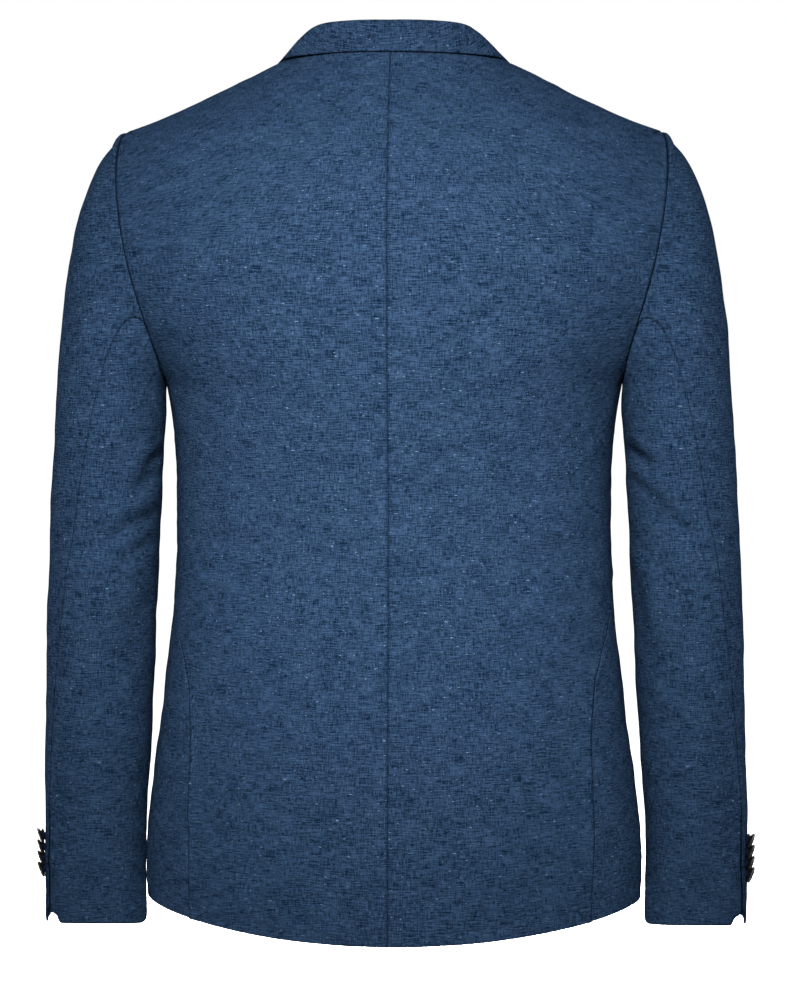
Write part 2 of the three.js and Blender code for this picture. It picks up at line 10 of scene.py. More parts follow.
import bmesh
import bpy
from mathutils import Matrix, Vector, kdtree, noise


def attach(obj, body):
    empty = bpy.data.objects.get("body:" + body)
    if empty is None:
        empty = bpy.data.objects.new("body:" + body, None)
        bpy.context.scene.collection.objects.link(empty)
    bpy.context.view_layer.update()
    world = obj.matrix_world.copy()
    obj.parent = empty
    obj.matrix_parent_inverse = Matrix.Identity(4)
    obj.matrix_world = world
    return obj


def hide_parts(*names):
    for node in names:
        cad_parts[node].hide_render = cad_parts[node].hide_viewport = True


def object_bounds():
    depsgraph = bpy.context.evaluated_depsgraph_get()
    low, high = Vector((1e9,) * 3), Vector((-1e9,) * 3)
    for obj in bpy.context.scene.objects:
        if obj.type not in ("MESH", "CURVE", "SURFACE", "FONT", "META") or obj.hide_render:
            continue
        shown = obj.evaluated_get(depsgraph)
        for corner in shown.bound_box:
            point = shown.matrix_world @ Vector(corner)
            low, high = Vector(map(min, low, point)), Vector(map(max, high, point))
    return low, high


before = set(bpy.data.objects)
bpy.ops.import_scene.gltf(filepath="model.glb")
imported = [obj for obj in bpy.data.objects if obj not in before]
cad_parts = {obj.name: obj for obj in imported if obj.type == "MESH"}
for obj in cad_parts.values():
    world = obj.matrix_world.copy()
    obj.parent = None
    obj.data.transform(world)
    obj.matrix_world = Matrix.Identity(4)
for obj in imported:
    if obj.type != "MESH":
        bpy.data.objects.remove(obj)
cad_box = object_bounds()
MM = 0.001
SIDES = ("left", "right")
print("nodes", len(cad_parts), "box", cad_box)

# %% [markdown]
# The solids' origin is the middle of the neck. A tailor reads a jacket from its hem, so the places in
# this lesson are heights above the hem at the centre of the back, and one number joins the two.

# %% Heights
ORIGIN_HEIGHT = 0.740


def height_of(point):
    """How far a point is above the hem at the centre of the back, in metres."""
    return point.z + ORIGIN_HEIGHT


# %% [markdown]
# The camera stands almost straight behind the blazer, a little above its middle. A long lens from some
# way off keeps the sleeves parallel, as in the photograph.

# %% Camera
VIEW_AZIMUTH = 182.4
VIEW_ELEVATION = 4.5
VIEW_DISTANCE = 2.6
VIEW_HEIGHT = 0.83
AIM = Vector((0.0, 0.0, -0.3694))

eye_turn = math.radians(VIEW_AZIMUTH)
eye_lift = math.radians(VIEW_ELEVATION)
eye = Vector((
    math.sin(eye_turn) * math.cos(eye_lift),
    -math.cos(eye_turn) * math.cos(eye_lift),
    math.sin(eye_lift),
)) * VIEW_DISTANCE + AIM
lens = bpy.data.cameras.new("camera")
lens.sensor_fit = "VERTICAL"
lens.angle = 2 * math.atan(VIEW_HEIGHT / 2 / VIEW_DISTANCE)
camera = bpy.data.objects.new("camera", lens)
camera.location = eye
camera.rotation_euler = (AIM - eye).to_track_quat("-Z", "Y").to_euler()
bpy.context.scene.collection.objects.link(camera)
bpy.context.scene.camera = camera
print("camera at", eye)


# %% [markdown]
# Small helpers build a material's node tree. Each adds one node, with its settings and with the values or
# links of its sockets, and hands back the socket that comes out of it.

# %% Node helpers
def new_material(name):
    """An empty node material with its output, and the tree."""
    material = bpy.data.materials.new(name)
    material.use_nodes = True
    tree = material.node_tree
    tree.nodes.clear()
    shader = tree.nodes.new("ShaderNodeBsdfPrincipled")
    output = tree.nodes.new("ShaderNodeOutputMaterial")
    tree.links.new(shader.outputs["BSDF"], output.inputs["Surface"])
    return material, tree, shader


def matt_material(name, colour, roughness=1.0, gloss=0.0, glow=0.0):
    """A plain material with little or no gloss, which may glow white."""
    material, _, shader = new_material(name)
    shader.inputs["Base Color"].default_value = colour
    shader.inputs["Roughness"].default_value = roughness
    shader.inputs["Specular IOR Level"].default_value = gloss
    shader.inputs["Emission Color"].default_value = (1.0, 1.0, 1.0, 1.0)
    shader.inputs["Emission Strength"].default_value = glow
    return material


def add(tree, kind, settings=None, **sockets):
    """A node of one kind, with its settings and the values or links of its sockets."""
    node = tree.nodes.new(kind)
    for key, value in (settings or {}).items():
        setattr(node, key, value)
    for key, value in sockets.items():
        name = key.replace("_", " ")
        socket = node.inputs[int(key[1:])] if key[0] == "i" and key[1:].isdigit() else node.inputs[name]
        if isinstance(value, bpy.types.NodeSocket):
            tree.links.new(value, socket)
        else:
            socket.default_value = value
    return node


def stretched(tree, source, scale):
    """The thread coordinates, stretched by a scale for each direction."""
    return add(tree, "ShaderNodeMapping", Vector=source, Scale=scale).outputs["Vector"]


def cloth_noise(tree, source, scale, detail, roughness):
    """Noise from 0 to 1 on stretched thread coordinates."""
    node = add(tree, "ShaderNodeTexNoise", Vector=stretched(tree, source, scale), Scale=1.0,
               Detail=detail, Roughness=roughness)
    return node.outputs["Fac"]


def ramp(tree, factor, low, high, start=0.0, end=1.0):
    """A factor spread from low..high to start..end."""
    node = add(tree, "ShaderNodeMapRange", {"clamp": True}, Value=factor)
    for key, value in zip(("From Min", "From Max", "To Min", "To Max"), (low, high, start, end)):
        node.inputs[key].default_value = value
    return node.outputs["Result"]


def maths(tree, operation, a, b):
    """One arithmetic node on two values or sockets."""
    return add(tree, "ShaderNodeMath", {"operation": operation}, i0=a, i1=b).outputs["Value"]


def mixed(tree, factor, a, b):
    """A colour mix."""
    node = add(tree, "ShaderNodeMix", {"data_type": "RGBA"})
    for index, value in ((0, factor), (6, a), (7, b)):
        if isinstance(value, bpy.types.NodeSocket):
            tree.links.new(value, node.inputs[index])
        else:
            node.inputs[index].default_value = value
    return node.outputs[2]


# %% [markdown]
# ## The cloth
# Chambray has a dark warp running up the piece and a paler weft running round it. Linen yarn is uneven,
# so the weft shows as short level streaks, the slubs, with a few pale nubs. Each piece carries its own
# thread map in metres: across is round the body or the arm, and up is the height. Two attributes of its
# points draw the seams: how far the cut edge is, in millimetres, and how strongly that seam shows. A seam
# is a pressed bump with a dark line of painted shade along its cut edge.

# %% Cloth material
# Painted shade along the seams; also the colour of the dark stitching thread.
SHADE_AND_THREAD = (0.0003, 0.0008, 0.0018, 1.0)
NAVY = (0.0003, 0.0012, 0.0032, 1.0)
PALE_BLUE = (0.0049, 0.0097, 0.0188, 1.0)
NUB = (0.022, 0.034, 0.052, 1.0)
YARNS = [
    # name, waves per metre across and up, detail, roughness, share of the light
    ("long weft", 95.0, 1150.0, 3.0, 0.65, 0.34),
    ("short weft", 330.0, 1500.0, 2.0, 0.6, 0.22),
    ("warp", 1250.0, 120.0, 3.0, 0.65, 0.26),
    ("grain", 1500.0, 1500.0, 1.0, 0.5, 0.10),
    ("patches", 38.0, 60.0, 3.0, 0.6, 0.08),
]
YARN_RANGE = (0.440, 0.570)
NUB_WAVES = (260.0, 700.0, 1.0)
NUB_RANGE = (0.70, 0.78)
NUB_SHARE = 0.8
# How far from a cut edge the painted seam shade reaches, in millimetres, and how dark it is at most.
SEAM_SHADE_MM = (0.15, 1.1)
SEAM_SHADE_SHARE = 0.8
PRESSED_MM = 2.4
WEAVE_RELIEF = 0.9


def chambray(name):
    """The cloth: uneven threads, nubs, and at each seam a pressed bump and a line of painted shade."""
    material, tree, shader = new_material(name)
    threads = add(tree, "ShaderNodeUVMap", {"uv_map": "threads"}).outputs["UV"]
    light = None
    for _, across, up, detail, roughness, share in YARNS:
        yarn = maths(tree, "MULTIPLY", cloth_noise(tree, threads, (across, up, 1.0), detail, roughness), share)
        light = maths(tree, "ADD", light, yarn) if light else yarn
    base = mixed(tree, ramp(tree, light, *YARN_RANGE), NAVY, PALE_BLUE)
    nubs = cloth_noise(tree, threads, NUB_WAVES, 1.0, 0.5)
    base = mixed(tree, ramp(tree, nubs, *NUB_RANGE, 0.0, NUB_SHARE), base, NUB)
    edge = add(tree, "ShaderNodeAttribute", {"attribute_name": "edge_mm"}).outputs["Fac"]
    seam = add(tree, "ShaderNodeAttribute", {"attribute_name": "seam"}).outputs["Fac"]
    # Painted shade: the cloth darkens towards each seam's cut edge, as much as the seam attribute says.
    line = maths(tree, "MULTIPLY", ramp(tree, edge, *SEAM_SHADE_MM, 1.0, 0.0), seam)
    base = mixed(tree, maths(tree, "MULTIPLY", line, SEAM_SHADE_SHARE), base, SHADE_AND_THREAD)
    tree.links.new(base, shader.inputs["Base Color"])
    pressed = maths(tree, "MULTIPLY", ramp(tree, edge, 0.0, PRESSED_MM, -1.0, 0.0), seam)
    relief = maths(tree, "ADD", maths(tree, "MULTIPLY", light, WEAVE_RELIEF), pressed)
    bump = add(tree, "ShaderNodeBump", Strength=0.6, Distance=0.0008, Height=relief)
    tree.links.new(bump.outputs["Normal"], shader.inputs["Normal"])
    shader.inputs["Roughness"].default_value = 1.0
    shader.inputs["Specular IOR Level"].default_value = 0.0
    return material


CLOTH = chambray("chambray")
print("cloth colours", NAVY[:3], PALE_BLUE[:3])

# %% [markdown]
# ## Pieces and curves
# Every finished piece is an object at the origin that rides on the one body. Two curves shape all the
# relief: a smooth step and a bell.

# %% Pieces
def mesh_object(name, shape):
    """A new object at the origin from a shape in the making."""
    mesh = bpy.data.meshes.new(name)
    shape.to_mesh(mesh)
    shape.free()
    made = bpy.data.objects.new(name, mesh)
    bpy.context.scene.collection.objects.link(made)
    return made


def finish_piece(piece, material, node=None):
    """Gives a piece its material and smooth shading, lets it ride, and has it stand for a node."""
    piece.data.materials.clear()
    piece.data.materials.append(material)
    piece.data.shade_smooth()
    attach(piece, "root")
    if node:
        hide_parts(node)


# %% Curves
def soft(value, low, high):
    """A smooth step from 0 at low to 1 at high."""
    t = min(max((value - low) / (high - low), 0.0), 1.0)
    return t * t * (3 - 2 * t)


def bell(value, width):
    """A bump of height 1 round 0, which fades over the width."""
    return math.exp(-((value / width) ** 2))


# %% [markdown]
# ## Refining a cut piece
# A solid from the frame is a coarse wall of flat facets. Merging its loose triangles, joining them to
# quads and subdividing gives a smooth wall. The rim of the wall is creased, so a seam stays where it was
# cut. The solids stand a little apart at their seams, so the rim first grows outwards until two cut
# edges meet.

# %% Refine a node
RIM_ANGLE = math.radians(50)
MERGE = 1e-5
SEAM_GROWTH = 0.3 * MM


def grow_rim(shape, rim_edges):
    """Moves the cut edge of a wall outwards, in the plane of the cloth."""
    rim = {v for e in rim_edges for v in e.verts}
    creased = set(rim_edges)
    strip = [f for f in shape.faces
             if all(v in rim for v in f.verts) and sum(e in creased for e in f.edges) >= 2]
    push = {}
    for face in strip:
        for vert in face.verts:
            push[vert] = push.get(vert, Vector()) + face.normal
    for vert, way in push.items():
        vert.co += way / max(way.length, 1.0) * SEAM_GROWTH


def refined(node, levels):
    """A smooth copy of a node, with its rim held, as a new object at the origin."""
    shape = bmesh.new()
    shape.from_mesh(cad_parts[node].data)
    bmesh.ops.remove_doubles(shape, verts=shape.verts, dist=MERGE)
    bmesh.ops.join_triangles(shape, faces=shape.faces, angle_face_threshold=math.radians(40),
                             angle_shape_threshold=math.radians(60))
    crease = shape.edges.layers.float.new("crease_edge")
    rim_edges = [e for e in shape.edges if len(e.link_faces) == 2 and e.calc_face_angle() > RIM_ANGLE]
    grow_rim(shape, rim_edges)
    for edge in rim_edges:
        edge[crease] = 1.0
    piece = mesh_object(node + "_cloth", shape)
    smooth = piece.modifiers.new("smooth", "SUBSURF")
    smooth.levels = smooth.render_levels = levels
    baked = bpy.data.meshes.new_from_object(piece.evaluated_get(bpy.context.evaluated_depsgraph_get()))
    piece.modifiers.clear()
    piece.data = baked
    return piece


# %% [markdown]
# The cut edges of a piece say how far each of its points is from a seam. They are kept as search trees:
# one of all the edges, and others of those that a rule picks, such as the hind-arm seam at the cuff.

# %% Distances from the cut edges
FAR = 1.0


def rim_points(piece):
    """Where the wall's cut edges run."""
    shape = bmesh.new()
    shape.from_mesh(piece.data)
    points = [v.co.copy() for v in {
        v for e in shape.edges if len(e.link_faces) == 2
        and e.calc_face_angle() > RIM_ANGLE for v in e.verts}]
    shape.free()
    return points


def search_tree(points):
    """The points, kept so that the nearest one is quickly found."""
    tree = kdtree.KDTree(len(points))
    for index, point in enumerate(points):
        tree.insert(point, index)
    tree.balance()
    return tree


def distance(tree, point):
    """From a point to the nearest one in the tree."""
    found = tree.find(point)[2]
    return FAR if found is None else found


# %% [markdown]
# The thread map unrolls a piece: round the body or the arm for across, and height for up. Over the
# shoulders the cloth turns forwards, so there across is the true width, and up also counts the depth.

# %% Thread map
BODY_RADIUS = 0.155
ARM_RADIUS = 0.045
COLLAR_RADIUS = 0.09
COLLAR_SLANT = 0.5
BODY_OVAL = 0.62
BLADE = 0.125
OVER_SHOULDER = (0.55, 0.70)
DEPTH_SHARE = 0.8
ARM_AT_CUFF = (0.249, -0.035)
ARM_LEAN = (-0.0145, 0.037)
ELBOW = 0.44


def over_shoulder(point, flat_across, way):
    """The map round the body, which over the shoulder turns into the map of the cloth laid flat."""
    height = height_of(point)
    flat = soft(height, *OVER_SHOULDER)
    across = math.atan2(point.x * BODY_OVAL, point.y) * BODY_RADIUS
    return across + (flat_across - across) * flat, height + DEPTH_SHARE * flat * (BLADE - way * point.y)


def back_threads(point):
    """Threads of the back and the sides."""
    return over_shoulder(point, point.x, 1)


def front_threads(point):
    """Threads of the fronts and of what lies on them, counted from the middle of the back."""
    half_turn = math.copysign(math.pi * BODY_RADIUS, point.x)
    return over_shoulder(point, half_turn - point.x, -1)


def arm_axis(height, side):
    """The middle of the sleeve at a height."""
    share = min(max(height / ELBOW, 0.0), 1.3)
    return side * (ARM_AT_CUFF[0] + ARM_LEAN[0] * share), ARM_AT_CUFF[1] + ARM_LEAN[1] * share


def arm_threads(point):
    """Threads of a sleeve, round its own middle."""
    side = 1 if point.x > 0 else -1
    x, y = arm_axis(height_of(point), side)
    angle = math.atan2(point.y - y, (point.x - x) * side)
    return angle * ARM_RADIUS, height_of(point)


def collar_threads(point):
    """Threads of the collar, which lie slantwise over its roll."""
    angle = math.atan2(point.x, point.y + 0.02)
    return angle * COLLAR_RADIUS, height_of(point) + COLLAR_SLANT * point.y


def map_threads(piece, threads):
    """The piece's own UV map, in metres, kept whole where the angle turns over."""
    mesh = piece.data
    layer = mesh.uv_layers.new(name="threads")
    turn = 2 * math.pi * (ARM_RADIUS if threads is arm_threads else BODY_RADIUS)
    for face in mesh.polygons:
        places = [threads(mesh.vertices[i].co) for i in face.vertices]
        highest = max(u for u, _ in places)
        for loop, (u, v) in zip(face.loop_indices, places):
            layer.data[loop].uv = (u + turn if highest - u > turn / 2 else u, v)


# %% [markdown]
# ## Which way is out
# Relief moves a point out of the body or the arm, or into it. Over the shoulders, out turns upwards.

# %% Outward directions
BODY_HALF = (0.19, 0.115)
SHOULDER_TURN = (0.60, 0.74)
SHOULDER_UP = 1.6
CAP_REACH = 0.06
CAP_TURN = (0.50, 0.64)
HEAD_TURN = (0.56, 0.675)
HEAD_UP = 2.2


def body_out(point):
    """Out of an oval body, and upwards over the shoulders."""
    up = SHOULDER_UP * soft(height_of(point), *SHOULDER_TURN)
    round_ = Vector((point.x / BODY_HALF[0] ** 2, point.y / BODY_HALF[1] ** 2, 0.0)).normalized()
    return (round_ + Vector((0, 0, up))).normalized()


def arm_out(point):
    """Out of the arm, whose middle moves in under the sleeve head."""
    side = 1 if point.x > 0 else -1
    height = height_of(point)
    x, y = arm_axis(min(height, CAP_TURN[0]), side)
    x -= side * CAP_REACH * soft(height, *CAP_TURN)
    round_ = Vector((point.x - x, point.y - y, 0.0)).normalized()
    return (round_ + Vector((0, 0, HEAD_UP * soft(height, *HEAD_TURN)))).normalized()


# %% [markdown]
# ## Listed folds
# Each row is one fold as it is seen from behind or from the front: where it starts and ends (distance to
# the wearer's left, height above the hem), how wide and how deep, all in millimetres. A fold is a trough
# with a softer ridge beside it. The face is 1 on the back and -1 on the front.

# %% Fold table
FOLDS = [
    # x1, h1, x2, h2, width, depth, face
    # left arm, from behind
    (246, 604, 202, 560, 9, 2.8, 1),
    (228, 560, 212, 505, 8, 1.5, 1),
    (178, 417, 209, 394, 6, 4.6, 1),
    (180, 397, 218, 381, 6, 3.4, 1),
    (180, 370, 246, 332, 7, 3.6, 1),
    (186, 344, 230, 320, 7, 2.6, 1),
    (196, 300, 222, 262, 6, 1.0, 1),
    (199, 236, 218, 196, 6, 0.9, 1),
    (268, 300, 284, 250, 7, 0.8, 1),
    # right arm, from behind
    (-183, 419, -216, 400, 6, 4.4, 1),
    (-184, 395, -230, 369, 6, 3.0, 1),
    (-194, 379, -250, 347, 7, 3.2, 1),
    (-192, 334, -210, 250, 7, 2.8, 1),
    (-244, 600, -206, 564, 9, 2.6, 1),
    (-204, 220, -226, 190, 6, 0.9, 1),
    (-282, 220, -266, 176, 7, 0.8, 1),
    # both arms, from the front
    (186, 424, 232, 398, 7, 2.0, -1),
    (188, 396, 246, 380, 7, 1.5, -1),
    (262, 372, 214, 350, 7, 1.2, -1),
    (240, 566, 206, 520, 9, 1.4, -1),
    (-186, 418, -236, 402, 7, 1.9, -1),
    (-190, 390, -240, 362, 7, 1.5, -1),
    (-264, 352, -218, 338, 7, 1.1, -1),
    (-242, 560, -208, 512, 9, 1.4, -1),
    # back of the body
    (180, 130, 153, 74, 7, 2.0, 1),
    (-186, 110, -172, 60, 7, 0.7, 1),
    (176, 352, 104, 334, 9, 1.5, 1),
    (-176, 342, -98, 330, 9, 1.5, 1),
    (172, 300, 120, 292, 8, 0.6, 1),
    (184, 462, 160, 548, 10, 2.0, 1),
    (-184, 458, -162, 544, 10, 2.0, 1),
    # front of the body
    (170, 350, 60, 336, 9, 1.4, -1),
    (-168, 356, -40, 340, 9, 1.4, -1),
    (150, 316, 50, 332, 9, 1.0, -1),
    (182, 470, 150, 546, 10, 1.4, -1),
    (-182, 466, -152, 540, 10, 1.4, -1),
    (172, 130, 158, 66, 8, 0.9, -1),
    (-170, 124, -160, 60, 8, 0.9, -1),
]
FOLD_REACH = 75
FOLD_BOW = 0.08
RIDGE = {"height": 0.6, "place": 1.9, "width": 1.3}
TURNED_AWAY = 1.6


def fold_relief(point, facing):
    """The relief of all the folds at a point, in metres. Facing is how much it looks to the back."""
    x, height = point.x / MM, height_of(point) / MM
    relief = 0.0
    for x1, h1, x2, h2, width, depth, face in FOLDS:
        far = max(abs(x - (x1 + x2) / 2), abs(height - (h1 + h2) / 2)) > FOLD_REACH
        if far or facing * face <= 0:
            continue
        run, rise = x2 - x1, h2 - h1
        length = math.hypot(run, rise)
        along = ((x - x1) * run + (height - h1) * rise) / length ** 2
        fade = max(0.0, 1 - (2 * along - 1) ** 2)
        if fade == 0:
            continue
        across = ((height - h1) * run - (x - x1) * rise) / length * (1 if run > 0 else -1)
        across += FOLD_BOW * length * (1 - fade)
        trough = -bell(across, width)
        ridge = RIDGE["height"] * bell(across - RIDGE["place"] * width, RIDGE["width"] * width)
        relief += depth * fade * (trough + ridge) * min(1.0, TURNED_AWAY * abs(facing))
    return relief * MM


# %% [markdown]
# ## Soft cloth
# Linen never lies quite flat: long shallow swells, shorter ones that run round the body, and small
# puckers where a seam holds the cloth in.

# %% Swells, puckers and the pressed seam
WAVES = [
    # waves per metre round and up, shift, height in millimetres: swells, crumples and puckers
    (14, 20, 0, 1.2),
    (34, 62, 7, 0.55),
    (60, 120, 3, 0.6),
]
GROOVE = 0.2


def uneven(point, edge):
    """Swells and crumples of the cloth, and puckers and a groove beside a seam, in metres."""
    swell, crumple, pucker = (
        height * noise.noise(Vector((point.x * round_, point.y * round_, point.z * up + shift)))
        for round_, up, shift, height in WAVES)
    beside = bell(edge - 5 * MM, 6 * MM)
    return (swell + crumple + pucker * beside - GROOVE * bell(edge, 1.8 * MM)) * MM


# %% [markdown]
# ## Laps, vents and the sleeve head
# The side vents lap: the back's edge lies over the side's. At each cuff the top sleeve's edge is a narrow
# placket that laps over the under sleeve, both corners are rounded away into a notch, and the hem slopes
# up to the front. The collar's edge is pressed towards the back. A little wadding makes the sleeve head
# stand up where it meets the shoulder.

# %% Local shapes
VENT_TOP = 0.225
CUFF_VENT_TOP = 0.118
CUFF_NOTCH = {"sleeve_top": (9 * MM, 14 * MM, 1.0), "sleeve_under": (9 * MM, 15 * MM, 1.7)}
CUFF_SLANT = 10 * MM
CUFF_DROP = {1: 3.4 * MM, -1: 0.4 * MM}
LAPS = {
    # relief, width from the edge, top of the lap, length of its fade
    "back": (0.9 * MM, 6 * MM, VENT_TOP, 20 * MM),
    "side": (-0.9 * MM, 9 * MM, VENT_TOP, 20 * MM),
    "sleeve_top": (0.8 * MM, 7 * MM, CUFF_VENT_TOP, 30 * MM),
    "sleeve_under": (-1.1 * MM, 5 * MM, CUFF_VENT_TOP, 50 * MM),
    "collar": (-1.3 * MM, 9 * MM, FAR, 20 * MM),
}
VENT_SPAN = (0.034, 0.26)
CUFF_SPAN = (0.013, 0.16)
# How dark each kind of seam's painted shade is, and how deep its pressed bump.
SEAM_SHADE_AND_PRESS = {"soft": 0.22, "sleeve": 0.35, "centre back": 0.5, "cuff": 0.9}
SHOULDER_SPAN = (0.52, 0.62)
ARMHOLE_FROM = 0.44
HEAD_FROM = 0.50
HEAD_SPAN = (0.615, 0.665)
HEAD_BUMP = 3.4 * MM


def foremost(points, rank, within, row=lambda p: round(height_of(p) / 0.004)):
    """Of the points in each row, those that rank highest. A row is a height unless it is said otherwise."""
    level = {p: row(p) for p in map(as_key, points)}
    best = {}
    for p, key in level.items():
        best[key] = max(best.get(key, -9.0), rank(p))
    return [p for p, key in level.items() if best[key] - rank(p) < within]


def as_key(point):
    """The point, fixed so that it can be a key."""
    return Vector(point).freeze()


def picked_edge(cut, points):
    """The stretch of a piece's edge that gets a shape of its own."""
    if cut in ("back", "side"):
        sign = 1 if cut == "back" else -1
        low = [p for p in points if VENT_SPAN[0] < height_of(p) < VENT_SPAN[1] and p.y > 0]
        return foremost(low, lambda p: sign * abs(p.x), 4 * MM)
    if cut == "sleeve_under":
        low = [p for p in points if CUFF_SPAN[0] < height_of(p) < CUFF_SPAN[1] and p.y > -0.035]
        return foremost(low, lambda p: abs(p.x), 3 * MM)
    if cut == "sleeve_top":
        low = [p for p in points if CUFF_SPAN[0] < height_of(p) < CUFF_SPAN[1] and abs(p.x) > 0.262]
        return foremost(low, lambda p: p.y, 3 * MM)
    if cut == "head":
        return [p for p in points if height_of(p) > HEAD_FROM and abs(p.x) < 0.226]
    if cut == "sleeve seam":
        return [p for p in points if height_of(p) > ARMHOLE_FROM and abs(p.x) < 0.226]
    if cut == "body seam":
        return [p for p in points if height_of(p) > ARMHOLE_FROM and abs(p.x) > 0.14]
    if cut == "collar":
        return foremost(points, lambda p: math.hypot(p.x, p.y + 0.05) - p.z, 3 * MM,
                        lambda p: round(math.degrees(math.atan2(p.x, p.y + 0.05)) / 3))
    return []


def seam_strength(cut, point, height, head_gap):
    """How strong the nearest seam's painted shade and pressed bump are: the armhole and centre back most, the
    others softly.
    """
    shoulder = soft(height, *SHOULDER_SPAN)
    if cut.startswith("sleeve"):
        if head_gap < 6 * MM:
            return SEAM_SHADE_AND_PRESS["sleeve"] + 0.5 * shoulder
        return SEAM_SHADE_AND_PRESS["cuff" if height < CUFF_VENT_TOP else "sleeve"]
    if cut == "back" and abs(point.x) < 0.02:
        return SEAM_SHADE_AND_PRESS["centre back"]
    if cut == "back" and height > 0.46:
        return SEAM_SHADE_AND_PRESS["sleeve"] + 0.4 * shoulder
    return SEAM_SHADE_AND_PRESS["soft"]


def lap_relief(cut, gap, height):
    """How far a lapped edge stands off: out for the upper cloth, in for the lower one."""
    if cut not in LAPS:
        return 0.0
    relief, width, top, fade = LAPS[cut]
    return relief * bell(gap, width) * soft(top - height, 0, fade)


def notch_rise(cut, point, gap, height):
    """How far a sleeve's hem rises in front and beside the cuff vent. The left one hangs a little lower."""
    if cut not in CUFF_NOTCH:
        return 0.0
    reach, rise, power = CUFF_NOTCH[cut]
    slant = CUFF_SLANT * soft(-point.y, 0.015, 0.062) - CUFF_DROP[1 if point.x > 0 else -1]
    near = max(0.0, 1 - gap / reach) ** power
    return rise * near * max(0.0, 1 - (height - 0.012) / 0.05) + slant * (1 - soft(height, 0.01, 0.12))


def head_relief(gap, height):
    """The sleeve head's small bump, just outside the seam at the shoulder."""
    return HEAD_BUMP * bell(gap - 4 * MM, 4.5 * MM) * soft(height, *HEAD_SPAN)


# %% [markdown]
# ## The cut pieces
# One loop dresses all the cloth: copy, refine, shape, map the threads, mark the seams, give it the cloth,
# ride on the one body and stand for its solid.

# %% Dress the cloth
CUTS = {
    # threads, outward direction, levels, size of the cut cloth
    "back": (back_threads, body_out, 3, (0.25, 0.76)),
    "side": (back_threads, body_out, 3, (0.12, 0.50)),
    "front": (front_threads, body_out, 2, (0.27, 0.76)),
    "lapel": (front_threads, body_out, 2, (0.09, 0.38)),
    "pocket_flap": (front_threads, body_out, 2, (0.16, 0.052)),
    "sleeve_top": (arm_threads, arm_out, 3, (0.20, 0.66)),
    "sleeve_under": (arm_threads, arm_out, 3, (0.14, 0.55)),
}
LAYERED = ("lapel", "pocket_flap", "collar")
LAYERED_SHARE = 0.35


def shape_cloth(piece, cut, out):
    """Gives a refined wall its folds, puckers, laps and vents, and notes how far its seams are.

    Folds and swells fade at the armhole, where body and arm have different ways out.
    """
    mesh = piece.data
    share = LAYERED_SHARE if cut in LAYERED else 1.0
    points = rim_points(piece)
    every = search_tree(points)
    picked = search_tree(picked_edge(cut, points))
    sleeve = cut.startswith("sleeve")
    head = search_tree(picked_edge("head", points)) if sleeve else None
    armhole = search_tree(picked_edge("sleeve seam" if sleeve else "body seam", points))
    layer = mesh.attributes.new("edge_mm", "FLOAT", "POINT")
    seam = mesh.attributes.new("seam", "FLOAT", "POINT")
    moved = []
    for vertex in mesh.vertices:
        point = vertex.co.copy()
        height = height_of(point)
        edge = distance(every, point)
        layer.data[vertex.index].value = edge / MM
        way = out(point)
        relief = share * (uneven(point, edge) + fold_relief(point, way.y))
        relief *= soft(distance(armhole, point), 1.5 * MM, 11 * MM)
        gap = distance(picked, point)
        relief += lap_relief(cut, gap, height)
        head_gap = distance(head, point) if head else FAR
        relief += head_relief(head_gap, height)
        # The seam attribute: how strong the painted seam shade and the pressed bump are at this point.
        seam.data[vertex.index].value = seam_strength(cut, point, height, head_gap)
        moved.append(point + way * relief + Vector((0, 0, notch_rise(cut, point, gap, height))))
    for vertex, place in zip(mesh.vertices, moved):
        vertex.co = place


def dress(node, threads, out, levels):
    """One cut piece from its solid to finished cloth."""
    piece = refined(node, levels)
    map_threads(piece, threads)
    shape_cloth(piece, node.rsplit("_", 1)[0] if "_" in node else node, out)
    finish_piece(piece, CLOTH, node)
    return piece


pieces = {}
for side in SIDES:
    for cut, (threads, out, levels, flat) in CUTS.items():
        name = f"{cut}_{side}"
        pieces[name] = dress(name, threads, out, levels)
pieces["collar"] = dress("collar", collar_threads, body_out, 3)

# %% [markdown]
# ## Stitched marks
# Small hand stitches: the slanted mitre at the foot of each side vent, the corded edges of the buttonholes
# on the left front, and the one on the lapel. Each is a thin thread laid on the cloth. The dark thread of
# each mitre also stands for the shade in the mitre's crease, so it is partly painted shade.

# %% Marks
THREAD = matt_material("dark_thread", SHADE_AND_THREAD, roughness=0.9, gloss=0.02)
MARKS = [
    # piece, face, x1, h1, x2, h2, thread radius (millimetres)
    # Each side vent's mitre: a stitched line, and partly painted shade of its crease.
    ("back_left", 1, 157.5, 34.5, 147.5, 41.5, 0.36),
    ("back_right", 1, -161.5, 33.5, -151.5, 43.5, 0.26),
    ("front_left", -1, -10.5, 336.2, 12.0, 336.2, 0.55),
    ("front_left", -1, -10.5, 334.0, 12.0, 334.0, 0.55),
    ("front_left", -1, -10.5, 236.2, 12.0, 236.2, 0.55),
    ("front_left", -1, -10.5, 234.0, 12.0, 234.0, 0.55),
    ("lapel_left", -1, 84.0, 584.0, 103.0, 592.0, 0.50),
]


def on_cloth(piece, face, x, height):
    """Where a level line from far off meets the cloth."""
    start = Vector((x * MM, face * 0.5, height * MM - ORIGIN_HEIGHT))
    hit, place, normal, _ = piece.ray_cast(start, Vector((0, -face, 0)))
    return place + normal * 0.1 * MM if hit else None


